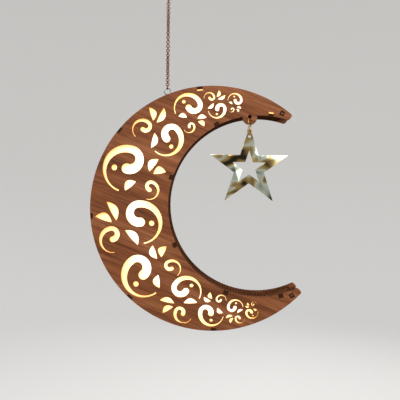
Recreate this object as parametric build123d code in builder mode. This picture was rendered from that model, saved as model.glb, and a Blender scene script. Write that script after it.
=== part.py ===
"""Hanging crescent lantern with a star pendant. Millimetres, +Z up, front towards -Y.

The origin is the centre of the hanging ring. Lantern pieces are drawn on lantern_plane, seen from the
front, with the crescent's axis along the local X axis and its outer circle centred on the local origin.
"""
import os
from math import asin, atan2, cos, degrees, pi, radians, sin, sqrt

from build123d import *

# Crescent outline
crescent_diameter = 300.0
bay_share = 0.738
bay_shift = 0.1895
crescent_tilt = 4.0
tip_angle = 46.0
tip_round = 3.0
lantern_depth = 40.0
ply = 3.0
glue_gap = 0.1

# Edge tabs, tip posts and bending slits of the walls
outer_tab_width = 7.0
inner_tab_width = 6.0
inner_notch_depth = 5.0
outer_tab_angles = (92.6, 136.3, 180.0, 223.7, 267.4)
inner_tab_angles = (79.2, 114.0, 158.4, 201.6, 246.0, 280.8)
post_side = 4.2
post_angle = 60.5
slit_width = 0.6
inner_slit_pitch = 18.0
outer_slit_pitch = 50.0
slit_margin = 3.0

# Star lug on the front panel
lug_diameter = 17.7
lug_angle = 92.5
lug_drop = 1.9
lug_hole_diameter = 4.8
lug_hole_rise = 0.8

# Fretwork
fret_margin = 3.5
fret_start = 87.0
fret_end = 276.0
fret_step = 1.60
fret_outer = (1.0, 0.80)
fret_inner = (0.88, 1.05)
main_scroll = 0.74
main_shift = 0.30
small_scroll = 0.38
small_shift = 0.60
curl_shift = 0.38
berry_radius = 0.12
berry_x = -0.12
berry_y = 0.50
leaf_width = 0.23
leaf_bend = 0.09
leaf_fan = ((0.16, -0.40, -18, 0.60), (0.13, -0.54, -62, 0.50), (-0.66, 0.12, -32, 0.56))

# Chain, rings and eye
wire_gap = 0.15
hanging_ring_radius = 8.0
hanging_ring_wire = 2.0
link_radius = 2.0
link_wire = 1.1
link_pitch = 2.8
link_count = 37
end_link_radius = 2.8
eye_radius = 4.0
eye_wire = 1.6
eye_angle = 107.7
eye_stand = 7.5
eye_setback = 2.2
eye_shank_length = 14.0
eye_shank_diameter = 2.0
anchor_length = 16.0
anchor_depth = 8.0
jump_ring_radius = 5.5
jump_ring_wire = 1.0
jump_ring_yaw = 20.0
link_sides = 6
end_link_sides = 12
link_wire_sides = 4
ring_sides = 16
ring_wire_sides = 6
small_sides = 8
main_steps = 6
small_steps = 4
leaf_steps = 3

# Star pendant
star_radius = 50.1
star_cutout_radius = 21.2
star_thickness = 2.0
star_hole_diameter = 4.0
star_hole_drop = 12.0
star_apex_round = 1.0
star_inner_ratio = 0.382

# Light string and diffuser
diffuser_thickness = 0.8
diffuser_short = 4.0
led_wire_diameter = 1.6
led_step = 11.0
led_end_angle = 70.0
led_holder_side = 7.0
led_holder_height = 3.6
led_diameter = 5.0
led_height = 4.0

# Battery case, cover and switch
cell_diameter = 14.2
cell_length = 50.0
cell_gap = 0.4
cell_nub_diameter = 5.5
cell_nub_length = 1.0
case_wall = 1.6
case_angle = 184.0
contact_thickness = 0.5
contact_room = 2.0
contact_width = 8.0
rim_height = 3.6
lip_thickness = 1.0
cover_thickness = 1.8
cover_gap = 0.3
grip_count = 4
grip_pitch = 2.4
grip_height = 0.7
groove_depth = 0.8
flange_width = 6.0
flange_thickness = 2.0
screw_diameter = 2.2
screw_head_diameter = 4.4
screw_head_height = 1.4
switch_bay = 16.0
switch_travel = 2.0
switch_knob = 4.0
switch_knob_height = 2.2
switch_base_height = 1.2
switch_body_height = 6.0

# Worked-out sizes of the crescent
outer_radius = crescent_diameter / 2
bay_radius = outer_radius * bay_share
bay_offset = crescent_diameter * bay_shift
inside_height = lantern_depth - 2 * ply
front_z = lantern_depth / 2
mid_radius = (outer_radius + bay_radius) / 2
mid_offset = bay_offset / 2


def bay_reach(angle):
    """Distance from the crescent's centre to the bay's edge in the direction of angle."""
    a = radians(angle)
    return bay_offset * cos(a) + sqrt(bay_radius**2 - (bay_offset * sin(a)) ** 2)


def polar(radius, angle, centre=0.0):
    """Point at a radius and an angle from a centre on the crescent's axis."""
    return (centre + radius * cos(radians(angle)), radius * sin(radians(angle)))


tip_reach = bay_reach(tip_angle)
bay_tip_angle = degrees(atan2(polar(tip_reach, tip_angle)[1], polar(tip_reach, tip_angle)[0] - bay_offset))

# Heights down the hanging line
top_link_top = -hanging_ring_radius + hanging_ring_wire / 2 + link_wire / 2 + wire_gap
top_link_z = top_link_top - end_link_radius
first_link_z = top_link_z - end_link_radius + link_wire + wire_gap - link_radius
last_link_z = first_link_z - (link_count - 1) * link_pitch
end_link_z = last_link_z - link_radius + link_wire + wire_gap - end_link_radius
eye_top = end_link_z - end_link_radius + link_wire / 2 + eye_wire / 2 + wire_gap
eye_z = eye_top - eye_radius

# Frames of the lantern
eye_world_angle = radians(eye_angle + crescent_tilt)
eye_distance = outer_radius + eye_stand
crescent_x = -eye_distance * cos(eye_world_angle)
crescent_z = eye_z - eye_distance * sin(eye_world_angle)
tilt_x = (cos(radians(crescent_tilt)), 0, sin(radians(crescent_tilt)))
lantern_plane = Plane(origin=(crescent_x, -eye_setback, crescent_z), x_dir=tilt_x, z_dir=(0, -1, 0))
panel_back = lantern_plane.offset(front_z - ply)
rear_plane = lantern_plane.offset(-front_z)
rear_inside = lantern_plane.offset(-front_z + ply)

# Places of the star's hanging line
lug_x, lug_y = polar(bay_radius - lug_drop, lug_angle, bay_offset)
lug_hole = polar(bay_radius - lug_drop + lug_hole_rise, lug_angle, bay_offset)
star_line = lantern_plane.from_local_coords((lug_hole[0], lug_hole[1], front_z - ply / 2))
ring_sag = jump_ring_radius - sqrt(jump_ring_radius**2 - (ply / 2) ** 2)
lug_ring_top = star_line.Z - lug_hole_diameter / 2 + jump_ring_wire / 2 + ring_sag + wire_gap
lug_ring_z = lug_ring_top - jump_ring_radius
star_ring_z = lug_ring_z - 2 * jump_ring_radius + jump_ring_wire + wire_gap
star_ring_low = star_ring_z - jump_ring_radius
star_sag = jump_ring_radius - sqrt(jump_ring_radius**2 - (star_thickness / 2) ** 2)
star_hole_z = star_ring_low + jump_ring_wire / 2 + star_sag + wire_gap - star_hole_diameter / 2
star_z = star_hole_z + star_hole_drop - star_radius


def hang_plane(height, turn=0.0, place=(0, 0)):
    """Upright plane of a ring on the hanging line, facing front and turned about Z."""
    a = radians(turn)
    return Plane(origin=(place[0], place[1], height), x_dir=(cos(a), sin(a), 0), z_dir=(sin(a), -cos(a), 0))


def ring_shape(plane, radius, wire, sides, wire_sides):
    """Wire ring in a plane: a closed loop of straight sides, flat at top and bottom, of an even count."""
    corner = radius / cos(pi / sides)
    corners = [(0, radius)] + [polar(corner, 90 + 360 * (i + 0.5) / sides) for i in range(sides)]
    path = Wire.make_polygon([plane.from_local_coords(c) for c in corners])
    with BuildPart() as ring:
        with BuildSketch(Plane(origin=path @ 0, x_dir=plane.z_dir, z_dir=path % 0)):
            RegularPolygon(wire / 2, wire_sides)
        sweep(path=path, transition=Transition.RIGHT)
    return ring.part


def link_shape(plane, radius, sides):
    """Chain link in a plane."""
    return ring_shape(plane, radius, link_wire, sides, link_wire_sides)


def crescent_face(plane, inset=0.0, cut_angle=tip_angle, rounding=0.0):
    """Crescent on a plane, drawn in from both edges by inset and cut off at the tips."""
    reach = 2 * outer_radius
    with BuildSketch(plane) as outline:
        Circle(outer_radius - inset)
        with Locations((bay_offset, 0)):
            Circle(bay_radius + inset, mode=Mode.SUBTRACT)
        wedge = [(0, 0), polar(reach, cut_angle), (2 * reach, 0), polar(reach, -cut_angle)]
        Polygon(*wedge, align=None, mode=Mode.SUBTRACT)
        if rounding:
            fillet(outline.vertices(), rounding)
    return outline.sketch


def half_turn(start, end, rise, steps):
    """Points of a half circle from start to end on the X axis, on the upper side where rise is 1."""
    middle = (start + end) / 2
    reach = (end - start) / 2
    turns = [pi * i / steps for i in range(steps)]
    return [(middle - reach * cos(t), rise * abs(reach) * sin(t)) for t in turns]


def scroll(size, steps):
    """Fret scroll: a thin tail that swells over a crown and curls inwards to a round head."""
    tail = -size
    tip = 0.06 * size
    crown = size
    swell = 0.32 * size
    curl = 0.60 * size
    head = 0.42 * size
    end = crown - 2 * curl
    outline = half_turn(tail, crown, 1, steps) + half_turn(crown, end, -1, steps - 1)
    outline += half_turn(end, end + head, 1, 3) + half_turn(end + head, crown - swell, -1, 3)
    outline += half_turn(crown - swell, tail + tip, 1, steps)
    with BuildSketch() as stroke:
        Polygon(*outline, (tail + tip, 0), align=None)
    return stroke.sketch


def leaf(length, width, bend):
    """Fret leaf from a pointed stalk at the origin to a pointed end, bent to one side."""
    steps = [i / leaf_steps for i in range(1, leaf_steps)]
    upper = [(length * t, 4 * (bend + width / 2) * t * (1 - t)) for t in steps]
    lower = [(length * t, 4 * (bend - width / 2) * t * (1 - t)) for t in reversed(steps)]
    with BuildSketch() as blade:
        Polygon((0, 0), *upper, (length, 0), *lower, align=None)
    return blade.sketch


def berry(radius):
    """Fret berry: a small round hole."""
    with BuildSketch() as dot:
        RegularPolygon(radius, small_sides)
    return dot.sketch


def band(angle):
    """Half height and middle radius of the crescent's band, seen from the middle circle's centre."""
    a = radians(angle)
    far = -mid_offset * cos(a) + sqrt(outer_radius**2 - (mid_offset * sin(a)) ** 2)
    near = mid_offset * cos(a) + sqrt(bay_radius**2 - (mid_offset * sin(a)) ** 2)
    return (far - near) / 2, (far + near) / 2


def tab_places(radius, angles, centre=0.0):
    """Places of the wall tabs on a circle, each turned to face outwards."""
    return [Location((*polar(radius, a, centre), 0), (0, 0, a)) for a in angles]


def fret_unit(room, grand, lesser):
    """One repeat of the fretwork along X: a grand scroll above X, a lesser one and leaves below."""
    size = main_scroll * grand * room
    small_curl = mirror(scroll(small_scroll * lesser * room, small_steps), about=Plane.XZ)
    shapes = [
        Location((0, main_shift * room)) * scroll(size, main_steps),
        Location((berry_x * size, main_shift * room + berry_y * size)) * berry(berry_radius * size),
        Location((-curl_shift * room, -small_shift * room)) * small_curl,
    ]
    for x, y, aim, length in leaf_fan:
        blade = leaf(length * lesser * room, leaf_width * room, leaf_bend * room)
        shapes.append(Location((x * room, y * room, 0), (0, 0, aim)) * blade)
    return shapes


# Fretwork: one unit after another along the middle of the band, turned over to alternate sides
fret_pieces = []
fret_angle = fret_start
fret_side = 1
while fret_angle < fret_end:
    half_band, fret_radius = band(fret_angle)
    room = half_band - ply - fret_margin
    spot = Location((*polar(fret_radius, fret_angle, mid_offset), 0), (0, 0, fret_angle - 90))
    for shape in fret_unit(room, *(fret_outer if fret_side > 0 else fret_inner)):
        if fret_side < 0:
            shape = mirror(shape, about=Plane.XZ)
        fret_pieces.append(spot * shape)
    half_step = degrees(fret_step * room / fret_radius) / 2
    ahead, ahead_radius = band(fret_angle + 2 * half_step)
    fret_angle += half_step + degrees(fret_step * (ahead - ply - fret_margin) / ahead_radius) / 2
    fret_side = -fret_side

# Edge notches and tip mortises that both panels share
outer_notch_depth = ply + 2 * glue_gap
post_radius = band(post_angle)[1]
with BuildSketch() as panel_cuts:
    with Locations(*tab_places(outer_radius, outer_tab_angles)):
        Rectangle(2 * outer_notch_depth, outer_tab_width + 2 * glue_gap)
    with Locations(*tab_places(bay_radius, inner_tab_angles, bay_offset)):
        Rectangle(2 * inner_notch_depth, inner_tab_width + 2 * glue_gap)
    with Locations(*tab_places(post_radius, (post_angle, -post_angle), mid_offset)):
        Rectangle(post_side + 2 * glue_gap, post_side + 2 * glue_gap)

# Front panel with notches, mortises, lug and fretwork
with BuildPart() as front_panel:
    with BuildSketch(panel_back) as front_outline:
        add(crescent_face(Plane.XY, rounding=tip_round))
        add(panel_cuts.sketch, mode=Mode.SUBTRACT)
        with Locations((lug_x, lug_y)):
            Circle(lug_diameter / 2)
        with Locations(lug_hole):
            Circle(lug_hole_diameter / 2, mode=Mode.SUBTRACT)
        add(fret_pieces, mode=Mode.SUBTRACT)
    extrude(amount=ply)
front_panel.part.label = "front_panel"

# Battery case places: case_plane lies on the back face, facing rearwards, with X along the case
case_x, case_y = polar(band(case_angle)[1], case_angle, mid_offset)
case_origin = rear_plane.from_local_coords((case_x, case_y, 0))
case_turn = radians(case_angle - 90 + crescent_tilt)
case_plane = Plane(origin=case_origin, x_dir=(cos(case_turn), 0, sin(case_turn)), z_dir=(0, 1, 0))
bay_length = cell_length + cell_nub_length + 2 * contact_room
bay_width = 2 * cell_diameter + 3 * cell_gap
bay_depth = cell_diameter + 2 * cell_gap
case_length = bay_length + switch_bay + 2 * case_wall
case_width = bay_width + 2 * (case_wall + groove_depth)
bay_x = (case_length - bay_length) / 2 - case_wall
bay_near = bay_x - bay_length / 2
switch_room = switch_bay - case_wall
switch_x = -case_length / 2 + case_wall + switch_room / 2
deck_low = rim_height - case_wall
channel_width = bay_width + 2 * groove_depth
cover_floor = rim_height - lip_thickness - cover_gap - cover_thickness
case_floor = cover_floor - cover_gap - bay_depth
flange_top = -ply
screw_y = case_width / 2 + flange_width / 2
screw_places = [(x, y) for x in (-case_length / 4, case_length / 4) for y in (-screw_y, screw_y)]

# Back panel with the same edge, a cut-out for the battery case and its screw holes
with BuildPart() as back_panel:
    with BuildSketch(rear_plane):
        add(crescent_face(Plane.XY, rounding=tip_round))
        add(panel_cuts.sketch, mode=Mode.SUBTRACT)
    extrude(amount=ply)
    with BuildSketch(case_plane):
        Rectangle(case_length + 2 * glue_gap, case_width + 2 * glue_gap)
        with Locations(*screw_places):
            RegularPolygon(screw_diameter / 2 + 2 * glue_gap, small_sides)
    extrude(amount=-ply, mode=Mode.SUBTRACT)
back_panel.part.label = "back_panel"

# Bent walls: strips between the panels, with tabs into the panels' notches and alternating bending slits
outer_end = tip_angle + degrees(tip_round / outer_radius)
inner_end = bay_tip_angle + degrees(tip_round / bay_radius)
slit_long = inside_height - 2 * slit_margin
slit_short = (inside_height - 3 * slit_margin) / 2 + slit_margin
short_z = inside_height / 2 - slit_short / 2


def wall_face(plane, near, far, centre, end_angle, tab_angles=None, tab_width=0.0):
    """Ring sector of a wall's thickness, whole or at its tabs alone."""
    reach = 2 * outer_radius
    with BuildSketch(plane) as sector:
        if tab_angles:
            with Locations(*tab_places((near + far) / 2, tab_angles, centre)):
                Rectangle(2 * (far - near), tab_width)
            with Locations((centre, 0)):
                Circle(far, mode=Mode.INTERSECT)
        else:
            with Locations((centre, 0)):
                Circle(far)
            wedge = [polar(0, 0, centre), polar(reach, end_angle, centre), (3 * reach, 0),
                     polar(reach, -end_angle, centre)]
            Polygon(*wedge, align=None, mode=Mode.SUBTRACT)
        with Locations((centre, 0)):
            Circle(near, mode=Mode.SUBTRACT)
    return sector.sketch


def slit_angles(radius, end_angle, pitch, keep_clear=(0.0, 0.0)):
    """Evenly spaced angles of the slit rows, without those that keep_clear holds back."""
    span = 360 - 2 * end_angle - 2 * degrees(2 * pitch / radius)
    rows = int(radians(span) * radius / pitch)
    first = end_angle + degrees(2 * pitch / radius)
    angles = [first + span * i / rows for i in range(rows + 1)]
    return [a for a in angles if not keep_clear[0] < a < keep_clear[1]]


def slit_places(radius, angles, centre, heights):
    """Places of slits on a wall, at the given heights above the middle."""
    return [Location((*polar(radius, a, centre), z), (0, 0, a)) for a in angles for z in heights]


eye_clear = degrees(anchor_length / outer_radius)
eye_room = (eye_angle - eye_clear, eye_angle + eye_clear)
outer_rows = slit_angles(outer_radius, outer_end, outer_slit_pitch, eye_room)
inner_rows = slit_angles(bay_radius, inner_end, inner_slit_pitch)
eye_hole = Location(Plane((*polar(outer_radius, eye_angle), -eye_setback), z_dir=(*polar(1, eye_angle), 0)))

with BuildPart(lantern_plane) as outer_wall:
    outer_ring = (outer_radius - ply, outer_radius, 0, outer_end)
    outer_strip = wall_face(lantern_plane, *outer_ring)
    extrude(outer_strip, inside_height / 2, both=True)
    outer_tabs = wall_face(lantern_plane, *outer_ring, outer_tab_angles, outer_tab_width)
    extrude(outer_tabs, lantern_depth / 2, both=True)
    with Locations(*slit_places(outer_radius - ply / 2, outer_rows[0::2], 0, (0,))):
        Box(3 * ply, slit_width, slit_long, mode=Mode.SUBTRACT)
    with Locations(*slit_places(outer_radius - ply / 2, outer_rows[1::2], 0, (-short_z, short_z))):
        Box(3 * ply, slit_width, slit_short - slit_margin, mode=Mode.SUBTRACT)
    with Locations(eye_hole):
        Cylinder(eye_shank_diameter / 2 + glue_gap, 4 * ply, mode=Mode.SUBTRACT)
outer_wall.part.label = "outer_wall"

with BuildPart(lantern_plane) as inner_wall:
    inner_ring = (bay_radius, bay_radius + ply, bay_offset, inner_end)
    inner_strip = wall_face(lantern_plane, *inner_ring)
    extrude(inner_strip, inside_height / 2, both=True)
    inner_tabs = wall_face(lantern_plane, *inner_ring, inner_tab_angles, inner_tab_width)
    extrude(inner_tabs, lantern_depth / 2, both=True)
    with Locations(*slit_places(bay_radius + ply / 2, inner_rows[0::2], bay_offset, (0,))):
        Box(3 * ply, slit_width, slit_long, mode=Mode.SUBTRACT)
    with Locations(*slit_places(bay_radius + ply / 2, inner_rows[1::2], bay_offset, (-short_z, short_z))):
        Box(3 * ply, slit_width, slit_short - slit_margin, mode=Mode.SUBTRACT)
inner_wall.part.label = "inner_wall"

# Tip posts: square bars through both panels
with BuildPart(lantern_plane) as upper_tip_post:
    with Locations(*tab_places(post_radius, (post_angle,), mid_offset)):
        Box(post_side, post_side, lantern_depth)
upper_tip_post.part.label = "upper_tip_post"

with BuildPart(lantern_plane) as lower_tip_post:
    with Locations(*tab_places(post_radius, (-post_angle,), mid_offset)):
        Box(post_side, post_side, lantern_depth)
lower_tip_post.part.label = "lower_tip_post"

# Diffuser behind the fretwork, inside the walls and short of the tip posts
diffuser_cut = post_angle - degrees(mid_offset * sin(radians(post_angle)) / post_radius) + diffuser_short
with BuildPart() as diffuser_sheet:
    extrude(crescent_face(panel_back, ply + glue_gap, diffuser_cut), -diffuser_thickness)
diffuser_sheet.part.label = "diffuser_sheet"

# Eye screw through the outer wall, and the block inside that holds its thread
eye_point = lantern_plane.from_local_coords((*polar(eye_distance, eye_angle), -eye_setback))
eye_out = (eye_point - lantern_plane.from_local_coords((0, 0, -eye_setback))).normalized()
with BuildPart() as eye_screw:
    add(ring_shape(hang_plane(eye_z), eye_radius, eye_wire, ring_sides, ring_wire_sides))
    with BuildSketch(Plane(origin=eye_point - eye_out * eye_radius, z_dir=-eye_out)):
        RegularPolygon(eye_shank_diameter / 2, small_sides)
    extrude(amount=eye_shank_length)
eye_screw.part.label = "eye_screw"

with BuildPart(lantern_plane) as anchor_block:
    with BuildSketch(lantern_plane.offset(-eye_setback)):
        Circle(outer_radius - ply - glue_gap)
        Circle(outer_radius - ply - glue_gap - anchor_depth, mode=Mode.SUBTRACT)
        with Locations(Location((*polar(outer_radius - ply, eye_angle), 0), (0, 0, eye_angle))):
            Rectangle(4 * anchor_depth, anchor_length, mode=Mode.INTERSECT)
    extrude(amount=anchor_length / 2, both=True)
    with Locations(eye_hole):
        Cylinder(eye_shank_diameter / 2 + glue_gap, 2 * eye_shank_length, mode=Mode.SUBTRACT)
anchor_block.part.label = "anchor_block"

# Hanging ring, end links and chain; neighbouring links stand at right angles
with BuildPart() as hanging_ring:
    add(ring_shape(hang_plane(0), hanging_ring_radius, hanging_ring_wire, ring_sides, ring_wire_sides))
hanging_ring.part.label = "hanging_ring"

with BuildPart() as chain_top_link:
    add(link_shape(hang_plane(top_link_z, 90), end_link_radius, end_link_sides))
chain_top_link.part.label = "chain_top_link"

with BuildPart() as hanging_chain:
    for first, turn in ((0, 0), (1, 90)):
        link = link_shape(hang_plane(0, turn), link_radius, link_sides)
        with Locations(*[(0, 0, first_link_z - i * link_pitch) for i in range(first, link_count, 2)]):
            add(link)
hanging_chain.part.label = "hanging_chain"

with BuildPart() as chain_end_link:
    add(link_shape(hang_plane(end_link_z, 90), end_link_radius, end_link_sides))
chain_end_link.part.label = "chain_end_link"

# Jump rings and star pendant
star_place = (star_line.X, star_line.Y)
with BuildPart() as lug_ring:
    lug_ring_plane = hang_plane(lug_ring_z, 90 - jump_ring_yaw, star_place)
    add(ring_shape(lug_ring_plane, jump_ring_radius, jump_ring_wire, ring_sides, ring_wire_sides))
lug_ring.part.label = "lug_ring"

with BuildPart() as star_ring:
    star_ring_plane = hang_plane(star_ring_z, 90 + jump_ring_yaw, star_place)
    add(ring_shape(star_ring_plane, jump_ring_radius, jump_ring_wire, ring_sides, ring_wire_sides))
star_ring.part.label = "star_ring"


def star_points(radius):
    """Ten corners of a five-pointed star with one point up."""
    return [polar(radius * (1 if i % 2 == 0 else star_inner_ratio), 90 + 36 * i) for i in range(10)]


star_plane = Plane(origin=(star_line.X, star_line.Y, star_z), x_dir=(1, 0, 0), z_dir=(0, -1, 0))
with BuildPart() as star_pendant:
    with BuildSketch(star_plane) as star_face:
        Polygon(*star_points(star_radius), align=None)
        fillet(star_face.vertices().sort_by(Axis.Y)[-1:], star_apex_round)
        Polygon(*star_points(star_cutout_radius), align=None, mode=Mode.SUBTRACT)
        with Locations((0, star_radius - star_hole_drop)):
            RegularPolygon(star_hole_diameter / 2, 2 * small_sides, mode=Mode.SUBTRACT)
    extrude(amount=star_thickness / 2, both=True)
star_pendant.part.label = "star_pendant"

# Light string on the back panel: two arcs of wire along the middle circle, from the case to the tips
string_start = degrees(asin((case_length - case_wall) / 2 / mid_radius))
string_arcs = [(led_end_angle, case_angle - string_start), (case_angle + string_start, 360 - led_end_angle)]
string_centre = rear_inside.from_local_coords((mid_offset, 0, 0))
string_axis = Axis(string_centre, lantern_plane.z_dir)
wire_room = led_wire_diameter + 2 * glue_gap


def string_plane(angle):
    """Plane across the light string: X outwards, Y to the front, from the middle circle's centre."""
    out = lantern_plane.x_dir * cos(radians(angle)) + lantern_plane.y_dir * sin(radians(angle))
    return Plane(origin=string_centre, x_dir=out, z_dir=out.cross(lantern_plane.z_dir))


def string_slot():
    """Room for the wire in the case's end walls."""
    with BuildPart() as slot:
        for first, last in string_arcs:
            with BuildSketch(string_plane(first)) as section:
                with Locations((mid_radius, wire_room / 2)):
                    Rectangle(wire_room, wire_room)
            revolve(section.sketch, axis=string_axis, revolution_arc=last - first)
    return slot.part


led_angles = []
for first, last in string_arcs:
    led_count = int((last - first) / led_step)
    led_rest = (last - first - (led_count - 1) * led_step) / 2
    led_angles += [first + led_rest + i * led_step for i in range(led_count)]

with BuildPart() as led_wire:
    for first, last in string_arcs:
        with BuildSketch(string_plane(first)) as wire_profile:
            with Locations((mid_radius, led_wire_diameter / 2 + glue_gap)):
                RegularPolygon(led_wire_diameter / 2, link_wire_sides)
        revolve(wire_profile.sketch, axis=string_axis, revolution_arc=last - first)
led_wire.part.label = "led_wire"

seated = (Align.CENTER, Align.CENTER, Align.MIN)
under = (Align.CENTER, Align.CENTER, Align.MAX)
with BuildPart() as led_holders:
    with BuildSketch(rear_inside):
        with Locations(*tab_places(mid_radius, led_angles, mid_offset)):
            Rectangle(led_holder_side, led_holder_side)
    extrude(amount=led_holder_height)
    with BuildSketch(rear_inside):
        with Locations(*tab_places(mid_radius, led_angles, mid_offset)):
            Rectangle(wire_room, 2 * led_holder_side)
    extrude(amount=wire_room, mode=Mode.SUBTRACT)
led_holders.part.label = "led_holders"

with BuildPart() as led_beads:
    with BuildSketch(rear_inside.offset(led_holder_height + glue_gap)):
        with Locations(*tab_places(mid_radius, led_angles, mid_offset)):
            RegularPolygon(led_diameter / 2, link_wire_sides)
    extrude(amount=led_height)
led_beads.part.label = "led_beads"

# Battery case: a tray through the back panel, with side flanges inside, a grooved rim and a switch deck
open_length = case_length / 2 - bay_near
with BuildPart(case_plane) as case_tray:
    with Locations((0, 0, case_floor - case_wall)):
        Box(case_length, case_width, rim_height - case_floor + case_wall, align=seated)
    with Locations((0, 0, flange_top)):
        Box(case_length, case_width + 2 * flange_width, flange_thickness, align=under)
    with Locations((bay_x, 0, case_floor)):
        Box(bay_length, bay_width, bay_depth + rim_height, align=seated, mode=Mode.SUBTRACT)
    with Locations((bay_near + open_length / 2, 0, cover_floor - cover_gap)):
        Box(open_length, bay_width, 2 * rim_height, align=seated, mode=Mode.SUBTRACT)
    with Locations((bay_near + open_length / 2, 0, rim_height - lip_thickness)):
        Box(open_length, channel_width, cover_thickness + 2 * cover_gap, align=under, mode=Mode.SUBTRACT)
    with Locations((switch_x, 0, deck_low)):
        Box(switch_room, bay_width, 2 * bay_depth, align=under, mode=Mode.SUBTRACT)
    slot_length = switch_knob + 2 * switch_travel + 2 * cover_gap
    with Locations((switch_x, 0, deck_low)):
        Box(switch_knob + 2 * cover_gap, slot_length, 4 * case_wall, mode=Mode.SUBTRACT)

with BuildPart() as battery_case:
    add(case_tray.part)
    with BuildSketch(case_plane.offset(flange_top)):
        with Locations(*screw_places):
            RegularPolygon(screw_diameter / 2 + 2 * glue_gap, small_sides)
    extrude(amount=2 * flange_thickness, both=True, mode=Mode.SUBTRACT)
    add(string_slot(), mode=Mode.SUBTRACT)
battery_case.part.label = "battery_case"

with BuildPart() as case_screws:
    with BuildSketch(case_plane):
        with Locations(*screw_places):
            RegularPolygon(screw_head_diameter / 2, small_sides)
    extrude(amount=screw_head_height)
    with BuildSketch(case_plane):
        with Locations(*screw_places):
            RegularPolygon(screw_diameter / 2, small_sides)
    extrude(amount=-ply - flange_thickness)
case_screws.part.label = "case_screws"

# Cells, head to tail, and the bent leaves that press on their ends
cell_z = case_floor + cell_gap + cell_diameter / 2
with BuildPart() as battery_cells:
    for side in (-1, 1):
        cell_spot = (bay_x, side * (cell_diameter + cell_gap) / 2, cell_z)
        cell_plane = Plane(origin=case_plane.from_local_coords(cell_spot), z_dir=case_plane.x_dir * side)
        with BuildSketch(cell_plane.offset(-(cell_length + cell_nub_length) / 2)):
            RegularPolygon(cell_diameter / 2, 2 * small_sides)
        extrude(amount=cell_length)
        with BuildSketch(cell_plane.offset((cell_length - cell_nub_length) / 2)):
            RegularPolygon(cell_nub_diameter / 2, small_sides)
        extrude(amount=cell_nub_length)
battery_cells.part.label = "battery_cells"

leaf_back = glue_gap
leaf_front = contact_room - glue_gap - contact_thickness
leaf_rise = [(leaf_back, -5.5), (leaf_back, -3.5), (leaf_front, 0), (leaf_back, 3.5), (leaf_back, 5.5)]
leaf_fall = [(x + contact_thickness, z) for x, z in reversed(leaf_rise)]
with BuildPart() as contact_leaves:
    for end in (-1, 1):
        for side in (-1, 1):
            leaf_spot = (bay_x + end * bay_length / 2, side * (cell_diameter + cell_gap) / 2, cell_z)
            leaf_plane = Plane(origin=case_plane.from_local_coords(leaf_spot),
                x_dir=case_plane.x_dir * -end, z_dir=case_plane.y_dir * end)
            with BuildSketch(leaf_plane):
                Polygon(*leaf_rise, *leaf_fall, align=None)
            extrude(amount=contact_width / 2, both=True)
contact_leaves.part.label = "contact_leaves"

# Sliding cover with grip ribs
cover_length = open_length - cover_gap
with BuildPart(case_plane) as battery_cover:
    with Locations((case_length / 2 - cover_length / 2, 0, cover_floor)):
        Box(cover_length, channel_width - 2 * cover_gap, cover_thickness, align=seated)
    with Locations(*[(case_length / 2 - (i + 1.5) * grip_pitch, 0, cover_floor + cover_thickness)
                     for i in range(grip_count)]):
        Box(grip_pitch / 2, bay_width / 2, grip_height, align=seated)
battery_cover.part.label = "battery_cover"

# Switch under the deck: a pocketed body and the slider, which stands at one end of its travel
base_side = switch_knob + 2 * case_wall
pocket_length = base_side + 2 * switch_travel + 2 * cover_gap
with BuildPart(case_plane) as switch_body:
    with Locations((switch_x, 0, deck_low - glue_gap)):
        Box(switch_room - 2 * glue_gap, pocket_length + 2 * case_wall, switch_body_height, align=under)
        Box(base_side + 2 * cover_gap, pocket_length, switch_base_height + 2 * cover_gap, align=under,
            mode=Mode.SUBTRACT)
switch_body.part.label = "switch_body"

with BuildPart(case_plane) as switch_slider:
    with Locations((switch_x, -switch_travel, deck_low - cover_gap)):
        Box(base_side, base_side, switch_base_height, align=under)
        Box(switch_knob, switch_knob, cover_gap + case_wall + switch_knob_height, align=seated)
switch_slider.part.label = "switch_slider"

pieces = [front_panel, back_panel, outer_wall, inner_wall, upper_tip_post, lower_tip_post,
    diffuser_sheet, eye_screw, anchor_block, hanging_ring, chain_top_link, hanging_chain,
    chain_end_link, lug_ring, star_ring, star_pendant, led_wire, led_holders, led_beads, battery_case,
    case_screws, battery_cells, contact_leaves, battery_cover, switch_body, switch_slider]
os.makedirs("parts", exist_ok=True)
for piece in pieces:
    export_step(piece.part, f"parts/{piece.part.label}.step")
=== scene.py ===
"""Dresses the hanging crescent lantern: fretted front, slit walls, round links, wood, glow and light."""
from math import acos, asin, atan2, cos, degrees, pi, radians, sin, sqrt, tan

import bmesh
import bpy
from mathutils import Matrix, Vector


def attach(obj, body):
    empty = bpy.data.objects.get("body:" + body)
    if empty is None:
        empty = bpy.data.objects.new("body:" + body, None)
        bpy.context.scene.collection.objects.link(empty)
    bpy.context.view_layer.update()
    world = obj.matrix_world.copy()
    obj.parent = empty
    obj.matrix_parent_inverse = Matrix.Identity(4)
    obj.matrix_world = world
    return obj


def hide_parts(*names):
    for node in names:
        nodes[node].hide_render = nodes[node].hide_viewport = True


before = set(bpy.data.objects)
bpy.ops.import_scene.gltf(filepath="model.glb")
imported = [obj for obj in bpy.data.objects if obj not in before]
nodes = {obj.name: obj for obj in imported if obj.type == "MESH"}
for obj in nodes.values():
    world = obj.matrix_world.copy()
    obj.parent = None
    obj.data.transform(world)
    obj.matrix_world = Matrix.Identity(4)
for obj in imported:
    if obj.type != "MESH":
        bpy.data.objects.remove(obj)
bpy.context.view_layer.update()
MM = 0.001

# Lantern frame, in millimetres: centre of the outer circle, tilt of the crescent's axis
CENTRE = (58.235, -2.2, -268.638)
TILT = radians(4.0)
OUTER_R = 150.0
BAY_R = 110.7
BAY_X = 56.85
MID_X = BAY_X / 2
FRONT_Z = 20.0
PLY = 3.0
TIP_ANGLE = 46.0
TIP_ROUND = 3.0
GAP = 0.1


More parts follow.
